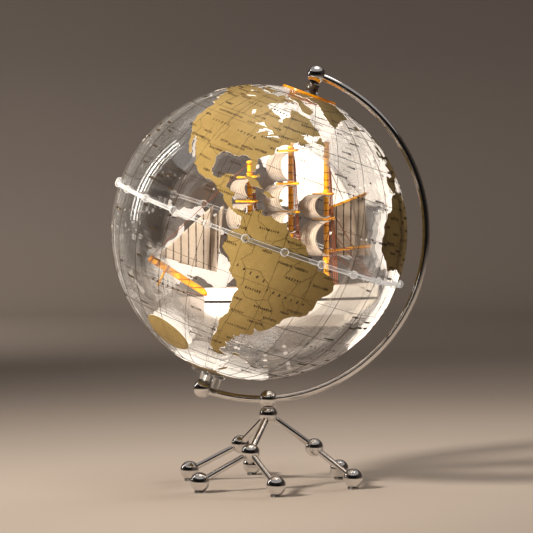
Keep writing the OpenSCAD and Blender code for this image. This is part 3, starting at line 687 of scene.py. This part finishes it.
def smooth_disc(lon, lat, radius):
    stretch, turns = 1 / max(0.25, math.cos(lat * DEG)), 9
    return [(lon + radius * stretch * math.cos(2 * math.pi * k / turns),
             lat + radius * math.sin(2 * math.pi * k / turns)) for k in range(turns)]


def coast(points, dice, rough=0.17):
    """Breaks each straight stretch of an outline into a wandering shore."""
    dirs = [aim(*p) for p in points]
    made = []
    for a, b in zip(dirs, dirs[1:] + dirs[:1]):
        line = [a, b]
        while (line[0] - line[1]).length / DEG > COAST_STEP:
            new = [line[0]]
            for p, q in zip(line, line[1:]):
                gap = (q - p).length
                side = p.cross(q).normalized()
                middle_point = ((p + q) / 2 + side * gap * dice.uniform(-rough, rough)).normalized()
                new += [middle_point, q]
            line = new
        made += line[:-1]
    return made


class Flat:
    """Equidistant projection round one direction, in degrees."""

    def __init__(self, centre):
        self.c = centre.normalized()
        self.u = self.c.orthogonal().normalized()
        self.v = self.c.cross(self.u)

    def to(self, d):
        angle = self.c.angle(d)
        x, y = d.dot(self.u), d.dot(self.v)
        size = math.hypot(x, y) or 1.0
        return (x / size * angle / DEG, y / size * angle / DEG)

    def back(self, p):
        angle = math.hypot(p[0], p[1])
        if angle < 1e-9:
            return self.c.copy()
        s = math.sin(angle * DEG) / angle
        return self.c * math.cos(angle * DEG) + self.u * (p[0] * s) + self.v * (p[1] * s)


def inside(p, loop):
    """Whether a flat point is within a closed loop."""
    hit, j = False, len(loop) - 1
    for i in range(len(loop)):
        a, b = loop[i], loop[j]
        if (a[1] > p[1]) != (b[1] > p[1]) and p[0] < (b[0] - a[0]) * (p[1] - a[1]) / (b[1] - a[1]) + a[0]:
            hit = not hit
        j = i
    return hit


def plate(heap_low, heap_high, shore, holes=()):
    """Fills a shore with triangles that follow the ball, and adds two thin solids, one above the other.
    Inner points stand in rows of a triangular grid, a little away from the shore."""
    centre = Vector()
    for d in shore:
        centre += d
    flat = Flat(centre)
    loop = [flat.to(d) for d in shore]
    hole_loops = [[flat.to(d) for d in h] for h in holes]
    tree = KDTree(len(loop))
    for i, p in enumerate(loop):
        tree.insert((p[0], p[1], 0), i)
    tree.balance()
    low_x, high_x = min(p[0] for p in loop), max(p[0] for p in loop)
    low_y, high_y = min(p[1] for p in loop), max(p[1] for p in loop)
    inner, row, y = [], 0, low_y
    while y < high_y:
        x = low_x + (row % 2) * INNER_STEP / 2
        while x < high_x:
            if inside((x, y), loop) and tree.find((x, y, 0))[2] > SHORE_SHARE * INNER_STEP:
                inner.append((x, y))
            x += INNER_STEP
        y += INNER_STEP * ROW_SHARE
        row += 1
    points, edges, start = list(loop), [], 0
    for ring in [loop] + hole_loops:
        if ring is not loop:
            start = len(points)
            points += ring
        edges += [(start + i, start + (i + 1) % len(ring)) for i in range(len(ring))]
    points += inner
    made = delaunay_2d_cdt([Vector(p) for p in points], edges, [], 0, 1e-6)
    verts2, tris = made[0], []
    for f in made[2]:
        mid = (sum(verts2[i].x for i in f) / 3, sum(verts2[i].y for i in f) / 3)
        if inside(mid, loop) and not any(inside(mid, h) for h in hole_loops):
            tris.append(tuple(f))
    dirs = [flat.back(v) for v in verts2]
    add_skin(heap_low, dirs, tris, PRINT_LOW, PRINT_MID)
    add_skin(heap_high, dirs, tris, PRINT_MID, PRINT_TOP)
    return flat, loop, hole_loops


def add_skin(heap, dirs, tris, low, high):
    used = sorted({i for t in tris for i in t})
    place = {i: k for k, i in enumerate(used)}
    count = len(used)
    verts = [GLOBE_AT + dirs[i] * low for i in used] + [GLOBE_AT + dirs[i] * high for i in used]
    faces, uses = [], {}
    for t in tris:
        a, b, c = (place[i] for i in t)
        faces += [(a + count, b + count, c + count), (c, b, a)]
        for e in ((a, b), (b, c), (c, a)):
            uses[e] = uses.get(e, 0) + 1
    for a, b in uses:
        if (b, a) not in uses:
            faces.append((a, b, b + count, a + count))
    heap.add(verts, faces)


def ribbon(heap, dirs, width, low, high, closed=False):
    """A thin flat strip along directions on the ball."""
    verts, faces, count = [], [], len(dirs)
    for i, d in enumerate(dirs):
        before = dirs[i - 1] if (i or closed) else d
        after = dirs[(i + 1) % count] if (i < count - 1 or closed) else d
        side = d.cross(after - before).normalized() * width / 2
        for r in (low, high):
            verts += [GLOBE_AT + d * r - side, GLOBE_AT + d * r + side]
    for i in range(count if closed else count - 1):
        a, b = 4 * i, 4 * ((i + 1) % count)
        for p, q in ((0, 1), (1, 3), (3, 2), (2, 0)):
            faces.append((a + p, a + q, b + q, b + p))
    if not closed:
        faces += [(0, 2, 3, 1), (4 * count - 4, 4 * count - 3, 4 * count - 1, 4 * count - 2)]
    heap.add(verts, faces)


def tick(heap, d, across, up, width, height):
    """One small flat mark of ink."""
    verts = []
    for r in (PRINT_LOW, INK_TOP):
        for sx, sy in ((-1, -1), (1, -1), (1, 1), (-1, 1)):
            verts.append(GLOBE_AT + d * r + across * (sx * width / 2) + up * (sy * height / 2))
    heap.add(verts, [(3, 2, 1, 0), (4, 5, 6, 7), (0, 1, 5, 4), (1, 2, 6, 5), (2, 3, 7, 6), (3, 0, 4, 7)])


def tangents(d, turn=0.0):
    """Two directions on the ball at d: one turned from east, the other a quarter turn on from it."""
    east = AXIS.cross(d).normalized()
    along = east * math.cos(turn) + d.cross(east) * math.sin(turn)
    return along, d.cross(along)


# Shares of a mark's height: from one mark to the next, and the widths of its bars
MARK_PITCH, THIN_BAR, WIDE_BAR = 0.62, 0.27, 0.44


def name_marks(heap, d, count, size, spread, dice, turn=0.0):
    """A row of upright bars, some with a short side bar, in place of a printed name. They spell nothing."""
    along, up = tangents(d, turn)
    step = size * (MARK_PITCH + spread)
    for k in range(count):
        at = (k - (count - 1) / 2) * step / GLOBE_R
        spot = (d + along * at).normalized()
        tall = size * dice.uniform(0.62, 1.0)
        kind = dice.random()
        tick(heap, spot, along, up, size * (THIN_BAR if kind < 0.6 else WIDE_BAR), tall)
        if kind > 0.35:
            off = dice.choice((-1, 0, 1)) * tall * 0.4
            bar = (spot + (along * size * 0.14 + up * off) / GLOBE_R).normalized()
            tick(heap, bar, along, up, size * WIDE_BAR, size * WIDE_BAR / 2)


# Border lines on land, longitude and latitude
BORDERS = [
    [(-123, 49), (-110, 49), (-95, 49), (-89, 48)],
    [(-83, 46), (-82.5, 43), (-79, 42.9), (-75, 45), (-71, 45), (-67.5, 47)],
    [(-117, 32.5), (-111, 31.3), (-106.5, 31.8), (-103, 29), (-100, 28), (-97.2, 26)],
    [(-141, 60.3), (-141, 69.5)], [(-92, 14.7), (-90.5, 16), (-89, 17.8)], [(-120, 49), (-120, 60)],
    [(-110, 49), (-110, 60), (-102, 60), (-94.5, 60)], [(-102, 49), (-102, 60)],
    [(-95, 49), (-92, 52.5), (-89, 56.5)], [(-79.5, 51.5), (-79.5, 47), (-75, 45.3)],
    [(-120, 60), (-110, 60)], [(-120, 39), (-114.6, 35), (-114.7, 32.6)], [(-109, 37), (-109, 31.4)],
    [(-104, 49), (-104, 41), (-102, 41), (-102, 37), (-103, 36.5), (-103, 32)],
    [(-77.5, 7.5), (-74, 2), (-70, -0.5), (-70, -4.3)],
    [(-80, -3.5), (-77.5, -3), (-75.3, -0.5), (-78, 1)],
    [(-72.5, 11), (-72, 8), (-67.5, 6.2), (-67, 2), (-64, 2.2), (-60.5, 5), (-60, 8)],
    [(-60, 5), (-57, 2), (-52, 4)], [(-70, -4.3), (-73, -8), (-70, -11), (-69.5, -17), (-70, -18.2)],
    [(-70, -11), (-65, -10), (-60.5, -14), (-58, -17), (-58, -20), (-62.5, -22), (-66.5, -22),
     (-68.5, -20)], [(-58, -20), (-54.5, -24), (-54, -27), (-57.5, -30), (-58, -33.5)],
    [(-58, -27), (-58, -25), (-62.5, -22)], [(-57, -30), (-53.5, -33)],
    [(-68, -24), (-69.5, -30), (-70.5, -36), (-71.5, -44), (-72.5, -50), (-69, -52)],
    [(-50, 1), (-54, -4), (-56, -9), (-50, -10), (-46, -6), (-44, -3)],
    [(-46, -6), (-45, -11), (-46, -15), (-40, -17)],
    [(-50, -10), (-51, -15), (-53, -18), (-50, -22), (-44, -22)],
    [(-9, 27.5), (-4.5, 25), (3, 19), (12, 23.5), (24, 20), (34, 22)], [(-12, 15), (-5, 15), (3, 19)],
    [(14, 13), (15, 23)], [(24, 20), (22.5, 11), (27, 5)], [(12, -6), (17, -7), (24, -11), (33, -10)],
    [(20, -18), (20, -28)], [(-4, 11), (3, 12), (14, 13)], [(35, 5), (42, 4), (41, -1)],
    [(-7.2, 41.8), (-7, 38)], [(-1.8, 43.3), (3, 42.4)], [(8, 48), (6.5, 50), (7, 53)],
    [(15, 51), (14.5, 53.8)], [(24, 55), (28, 50), (35, 50), (40, 48)],
    [(50, 51), (60, 53), (70, 55), (80, 51), (87, 49.5), (98, 52), (116, 50), (125, 53), (131, 48)],
    [(62, 36), (62, 29)], [(71, 24), (75, 33), (81, 30), (88, 27.8), (97, 28), (98, 24), (105, 23)],
    [(129, -15), (129, -31)], [(138, -16.5), (138, -26), (129, -26)], [(141, -26), (141, -37)]]
# Rows of marks in place of big names: longitude, latitude, count, height in mm, spread, slope in degrees
BIG_NAMES = [
    (-102, 57, 5, 2.0, 0.55, 0), (-86, 58, 7, 2.0, 0.55, -6), (-108, 41, 6, 2.1, 0.6, 0),
    (-92, 40, 6, 2.1, 0.6, -4), (-100, 65, 6, 1.9, 0.5, 0), (-102, 24, 6, 1.7, 0.35, -8),
    (-68, -12, 5, 2.3, 1.5, -12), (-52, -17, 7, 2.3, 1.3, -4), (-52, -9, 6, 1.9, 0.4, 0),
    (-65, -18, 7, 1.7, 0.3, 0), (-66, -36, 9, 1.8, 0.3, 0), (-67, 6, 9, 1.6, 0.3, 4),
    (5, 18, 6, 2.2, 1.0, 0), (22, 2, 6, 2.2, 1.0, 0), (95, 60, 6, 2.3, 1.2, 0), (103, 35, 5, 2.2, 0.9, 0),
    (134, -24, 9, 2.0, 0.7, 0), (78, 22, 5, 1.8, 0.4, 0), (-42, 72, 9, 1.6, 0.3, 20),
    (-40, 30, 8, 1.9, 1.4, 0), (-140, 5, 7, 1.9, 1.6, 0), (-100, -30, 7, 1.9, 1.6, 0),
    (75, -20, 6, 1.9, 1.6, 0), (-20, -35, 8, 1.9, 1.6, 0)]
# Small names: places tried and how far they are shaken, the least gap, how near the poles they go, and the
# shares that are kept at sea and that have a town's mark
NAME_COUNT, NAME_SHAKE, NAME_GAP, NAME_LIMIT, SEA_SHARE, TOWN_SHARE = 1500, 0.03, 3.85 * DEG, 0.93, 0.2, 0.6
BORDER_STEP, BORDER_WANDER, BORDER_WIDE, TOWN = 1.0 * DEG, 0.0035, 0.20 * MM, 0.5 * MM
# The legend: its place, half its length and height, its turn, and its row step in shares of half its height
LEGEND_AT, LEGEND_LONG, LEGEND_SHORT = (-105, -56), 9.8 * DEG, 7.8 * DEG
LEGEND_TURN, LEGEND_ROW = -24 * DEG, 0.22


def make_map():
    dice = random.Random(7)
    white, gold, ink, lines = Heap(), Heap(), Heap(), Heap()
    lakes = [coast(lake, dice, 0.10) for lake in LAKES]
    lands = []
    for outline in (NORTH_AMERICA, SOUTH_AMERICA, AFRICA, EURASIA, AUSTRALIA, ANTARCTICA, GREENLAND):
        shore = coast(outline, dice)
        lands.append(plate(white, gold, shore, [lake for lake in lakes if lake_in(lake, shore)]))
    for outline in ISLANDS:
        lands.append(plate(white, gold, coast(outline, dice)))
    for lon, lat, radius in SPECKS:
        shore = [aim(*p) for p in smooth_disc(lon, lat, radius * dice.uniform(0.8, 1.1))]
        shakes = [Vector([dice.uniform(-1, 1) for _ in range(3)]) * radius * 0.004 for _ in shore]
        lands.append(plate(white, gold, [(d + shake).normalized() for d, shake in zip(shore, shakes)]))
    legend = make_legend(white, gold, ink, dice)
    make_borders(ink, dice)
    make_names(ink, lands, legend, dice)
    make_grid(lines)
    for name, heap, slot_name in (("land_inside", white, "map_white"), ("land_outside", gold, "map_gold"),
                                  ("names", ink, "map_ink"), ("grid", lines, "map_ink")):
        piece("map_" + name, heap.verts, heap.faces, GLOBE, slot_name, smooth=False)


def lake_in(lake, shore):
    """Whether a lake lies in a land, told by the lake's first point."""
    flat = Flat(lake[0])
    loop = [flat.to(d) for d in shore]
    return inside(flat.to(lake[0]), loop)


# A small land this far away needs no test
FAR, SMALL_LOOP = 88 * DEG, 200


def on_land(d, lands):
    for flat, loop, holes in lands:
        if flat.c.angle(d) > FAR and len(loop) < SMALL_LOOP:
            continue
        p = flat.to(d)
        if inside(p, loop) and not any(inside(p, h) for h in holes):
            return True
    return False


def make_borders(ink, dice):
    for line in BORDERS:
        dirs = []
        for a, b in zip(line, line[1:]):
            p, q = aim(*a), aim(*b)
            steps = max(2, int(p.angle(q) / BORDER_STEP))
            for k in range(steps):
                spot = p.lerp(q, k / steps)
                side = p.cross(q).normalized()
                dirs.append((spot + side * dice.uniform(-BORDER_WANDER, BORDER_WANDER)).normalized())
        dirs.append(aim(*line[-1]))
        ribbon(ink, dirs, BORDER_WIDE, PRINT_MID, INK_TOP)


def make_names(ink, lands, legend, dice):
    """Names spread evenly: close together on land, sparse and small at sea."""
    placed = []
    for lon, lat, count, size, spread, slope in BIG_NAMES:
        d = aim(lon, lat)
        name_marks(ink, d, count, size * MM, spread, dice, slope * DEG)
        half = count * size * MM * (MARK_PITCH + spread) / 2 / GLOBE_R
        east, _ = tangents(d)
        placed += [(d + east * half * s).normalized() for s in (-1, -0.5, 0, 0.5, 1)]
    golden = math.pi * (3 - math.sqrt(5))
    for k in range(NAME_COUNT):
        z = 1 - 2 * (k + 0.5) / NAME_COUNT
        r = math.sqrt(1 - z * z)
        d = (EAST_AXIS * (r * math.cos(golden * k)) + BACK_AXIS * (r * math.sin(golden * k)) + AXIS * z)
        d = (d + Vector([dice.uniform(-NAME_SHAKE, NAME_SHAKE) for _ in range(3)])).normalized()
        count, sea_draw, dot_draw = dice.randint(4, 9), dice.random(), dice.random()
        if abs(z) > NAME_LIMIT or any(d.dot(p) > math.cos(NAME_GAP) for p in placed) or legend(d):
            continue
        land = on_land(d, lands)
        if not land and sea_draw > SEA_SHARE:
            continue
        size = (1.9 if land else 1.5) * MM
        name_marks(ink, d, count, size, 0.10, dice)
        placed.append(d)
        if land and dot_draw < TOWN_SHARE:
            east, north = tangents(d)
            spot = (d - east * (count * 0.5 * size / GLOBE_R) + north * 0.012).normalized()
            tick(ink, spot, east, north, TOWN, TOWN)


GRID_WIDE, GRID_DROP = 0.18 * MM, 0.02 * MM


def make_grid(lines):
    """Meridians and parallels each 15 degrees, except the equator, which is under the ring."""
    low, high = PRINT_LOW - GRID_DROP, INK_TOP - GRID_DROP
    for lon in range(-180, 180, 15):
        ribbon(lines, [aim(lon, 1.5 * k) for k in range(-50, 51)], GRID_WIDE, low, high)
    for lat in list(range(-75, 0, 15)) + list(range(15, 80, 15)):
        ribbon(lines, [aim(lon, lat) for lon in range(-180, 180, 2)], GRID_WIDE, low, high, closed=True)


def make_legend(white, gold, ink, dice):
    """The oval cartouche in the south Pacific, with rows of short bars in place of its words."""
    d = aim(*LEGEND_AT)
    along, up = tangents(d, LEGEND_TURN)

    def spot(x, y):
        return (d + along * math.tan(x) + up * math.tan(y)).normalized()

    def oval(share, step):
        return [spot(share * LEGEND_LONG * math.cos(a * DEG), share * LEGEND_SHORT * math.sin(a * DEG))
                for a in range(0, 360, step)]

    plate(white, gold, oval(1, 5))
    ribbon(ink, oval(0.9, 6), 0.25 * MM, PRINT_MID, INK_TOP, closed=True)
    for row in range(-3, 4):
        y = row * LEGEND_SHORT * LEGEND_ROW
        half = 0.74 * LEGEND_LONG * math.sqrt(1 - (row * LEGEND_ROW) ** 2)
        x = -half
        while x < half - 1.2 * DEG:
            word = min(dice.uniform(1.2, 3.2) * DEG, half - x)
            thick = (0.75 if row == 3 else 0.45) * MM
            ribbon(ink, [spot(x + word * k / 4, y) for k in range(5)], thick, PRINT_MID, INK_TOP)
            x += word + 0.8 * DEG

    def covers(q):
        return q.angle(d) < LEGEND_LONG * 1.25

    return covers


# ---- The sails ----

CLOTH_T = 0.35 * MM
WIDE_SEAM_STEP = 5.1 * MM
# In mm: from the mast to the yard, the yard's radius, and from the yard to the cloth
YARD_SEAT, YARD_R, CLOTH_GAP = 1.8, 0.9, 0.3
BRACE = 15 * DEG
# A square sail narrows in the middle by a share, and its edges ripple and fall back by so many mm
ROACH, RIPPLE, SLACK = 0.06, 0.35, 1.1
# Square sails: the CAD node, then mast x, yard height, foot height, width and belly in mm
SQUARE_SAILS = [
    ("fore_topsail", FORE_X, 37.5, 22.5, 26, 7), ("fore_course", FORE_X, 21, 1, 30, 10),
    ("main_topgallant", MAIN_X, 55.5, 35, 26, 11), ("main_topsail", MAIN_X, 33, 15.5, 30, 13),
    ("main_course", MAIN_X, 14, 1, 32, 11), ("mizzen_topsail", MIZZEN_X, 26, 11, 26, 12),
    ("mizzen_course", MIZZEN_X, 9.5, -16, 30, 12)]


def cloth(name, verts, faces, uvs, node):
    obj = piece(name, verts, faces, STAND, "sail_cloth")
    layer = obj.data.uv_layers.new(name="cloth")
    for loop in obj.data.loops:
        layer.data[loop.index].uv = uvs[loop.vertex_index]
    thick = obj.modifiers.new("thickness", "SOLIDIFY")
    thick.thickness, thick.offset = CLOTH_T, 0
    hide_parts(node)
    return obj


def grid_faces(rows, columns):
    return [(r * (columns + 1) + c, r * (columns + 1) + c + 1, (r + 1) * (columns + 1) + c + 1,
             (r + 1) * (columns + 1) + c) for r in range(rows) for c in range(columns)]


def square_sail(node, mast_x, top, foot, width, belly, dice):
    """Cloth bowed forward between its yard and its foot, slack enough to ripple at the leeches."""
    height = top - foot - 2 * YARD_R
    bend_r = (height * height / 4 + belly * belly) / (2 * belly)
    half_turn = math.acos((bend_r - belly) / bend_r)
    rows, columns = 28, 26
    verts, uvs = [], []
    phase = dice.uniform(0, 6)
    for r in range(rows + 1):
        t = r / rows
        a = half_turn * (1 - 2 * t)
        x0 = YARD_SEAT + YARD_R + CLOTH_GAP + (bend_r * math.cos(a) + belly - bend_r)
        z0 = foot + height / 2 + bend_r * math.sin(a)
        for c in range(columns + 1):
            s = c / columns - 0.5
            roach = 1 - ROACH * math.sin(math.pi * t)
            ripple = RIPPLE * math.sin(9 * t + phase + 7 * s) * (4 * s * s) * math.sin(math.pi * t)
            slack = -SLACK * (2 * s) ** 2 * math.sin(math.pi * t)
            x, y = x0 + slack + ripple, s * width * roach
            bx = x * math.cos(BRACE) - y * math.sin(BRACE)
            by = x * math.sin(BRACE) + y * math.cos(BRACE)
            verts.append(ship(mast_x + bx, by, z0))
            uvs.append((s * width * MM + 0.05, t * 2 * half_turn * bend_r * MM))
    cloth(node + "_cloth", verts, grid_faces(rows, columns), uvs, node)


def fore_and_aft_sail(name, node, corners, side, bulge):
    """Cloth between three or four corners (forward and up, in mm), with its seams up and down."""
    rows = columns = 24
    a, b = Vector(corners[0]), Vector(corners[1])
    c, d = Vector(corners[2]), Vector(corners[-1])
    verts, uvs = [], []
    for r in range(rows + 1):
        t = r / rows
        for k in range(columns + 1):
            s = k / columns
            p = a.lerp(b, s).lerp(d.lerp(c, s), t)
            hollow = math.sin(math.pi * s) * math.sin(math.pi * t) if len(corners) == 4 else \
                4 * math.sin(math.pi * t) * s * (1 - s)
            verts.append(ship(p.x, side + bulge * hollow, p.y))
            uvs.append(((p.x + 200) * MM * SEAM_STEP / WIDE_SEAM_STEP, p.y * MM))
    faces = grid_faces(rows, columns)
    cloth(name, verts, faces, uvs, node)


def make_sails():
    dice = random.Random(3)
    for sail in SQUARE_SAILS:
        square_sail(*sail, dice)
    fore_and_aft_sail("outer_jib_cloth", "outer_jib", [(81.5, -15.5), (43.5, 18.4), (47.5, -25.5)], 1.2, 1.6)
    fore_and_aft_sail("inner_jib_cloth", "inner_jib", [(67.5, -20.5), (36, 18.6), (41, -27)], -1.2, -1.6)
    fore_and_aft_sail("spanker_cloth", "spanker", [(-38, 16.5), (-60.6, 25.4), (-64.8, -16), (-42.2, -16)],
                      -1.3, -1.2)


# ---- Ship's small fittings ----

def turned(heap, at, axis, profile, steps=14):
    verts, faces = lathe([(r * MM, h * MM) for r, h in profile], at, axis, steps)
    heap.add(verts, faces)


# Turned profiles, as radius and height in mm
BAND = [(0, -0.9), (2.15, -0.9), (2.45, -0.4), (2.45, 0.4), (2.15, 0.9), (0, 0.9)]
LASHING = [(0, -0.7), (2.5, -0.7), (2.75, 0), (2.5, 0.7), (0, 0.7)]
TRUCK = [(0, 0), (1.9, 0), (2.5, 0.6), (2.5, 1.1), (1.7, 1.7), (0.8, 2.0), (0, 2.1)]
# Each mast: x, the heights of its collars and its top, in mm
MAST_FITTINGS = [(FORE_X, (40, 22, 2, -20), 48), (MAIN_X, (57.5, 34.5, 15.2, -8, -26), 60.5),
                 (MIZZEN_X, (52, 27.5, 10.8, -18, -30), 61)]
BOWSPRIT_HEEL, BOWSPRIT_TIP = (46.8, 0, -42.3), (87, 0, -17)


def make_fittings():
    """Collars down the masts, trucks on top, and the knots round the bowsprit."""
    spar, bands = Heap(), Heap()
    up = Vector((0, 0, 1))
    for x, heights, top in MAST_FITTINGS:
        for h in heights:
            turned(spar, ship(x, 0, h), up, BAND)
        turned(spar, ship(x, 0, top - 1.2), up, TRUCK)
    heel, tip = Vector(BOWSPRIT_HEEL), Vector(BOWSPRIT_TIP)
    along = (SHIP_X * (tip.x - heel.x) + up * (tip.z - heel.z)).normalized()
    for t in (0.96, 0.86, 0.70):
        p = heel.lerp(tip, t)
        turned(bands, ship(p.x, p.y, p.z), along, LASHING, 18)
    piece("mast_collars", spar.verts, spar.faces, STAND, "spar_gold")
    piece("bowsprit_lashings", bands.verts, bands.faces, STAND, "shroud_thread")


# ---- Assembly ----

dress_cad()
make_camera()
make_lights()
make_room()
make_map()
make_sails()
make_fittings()
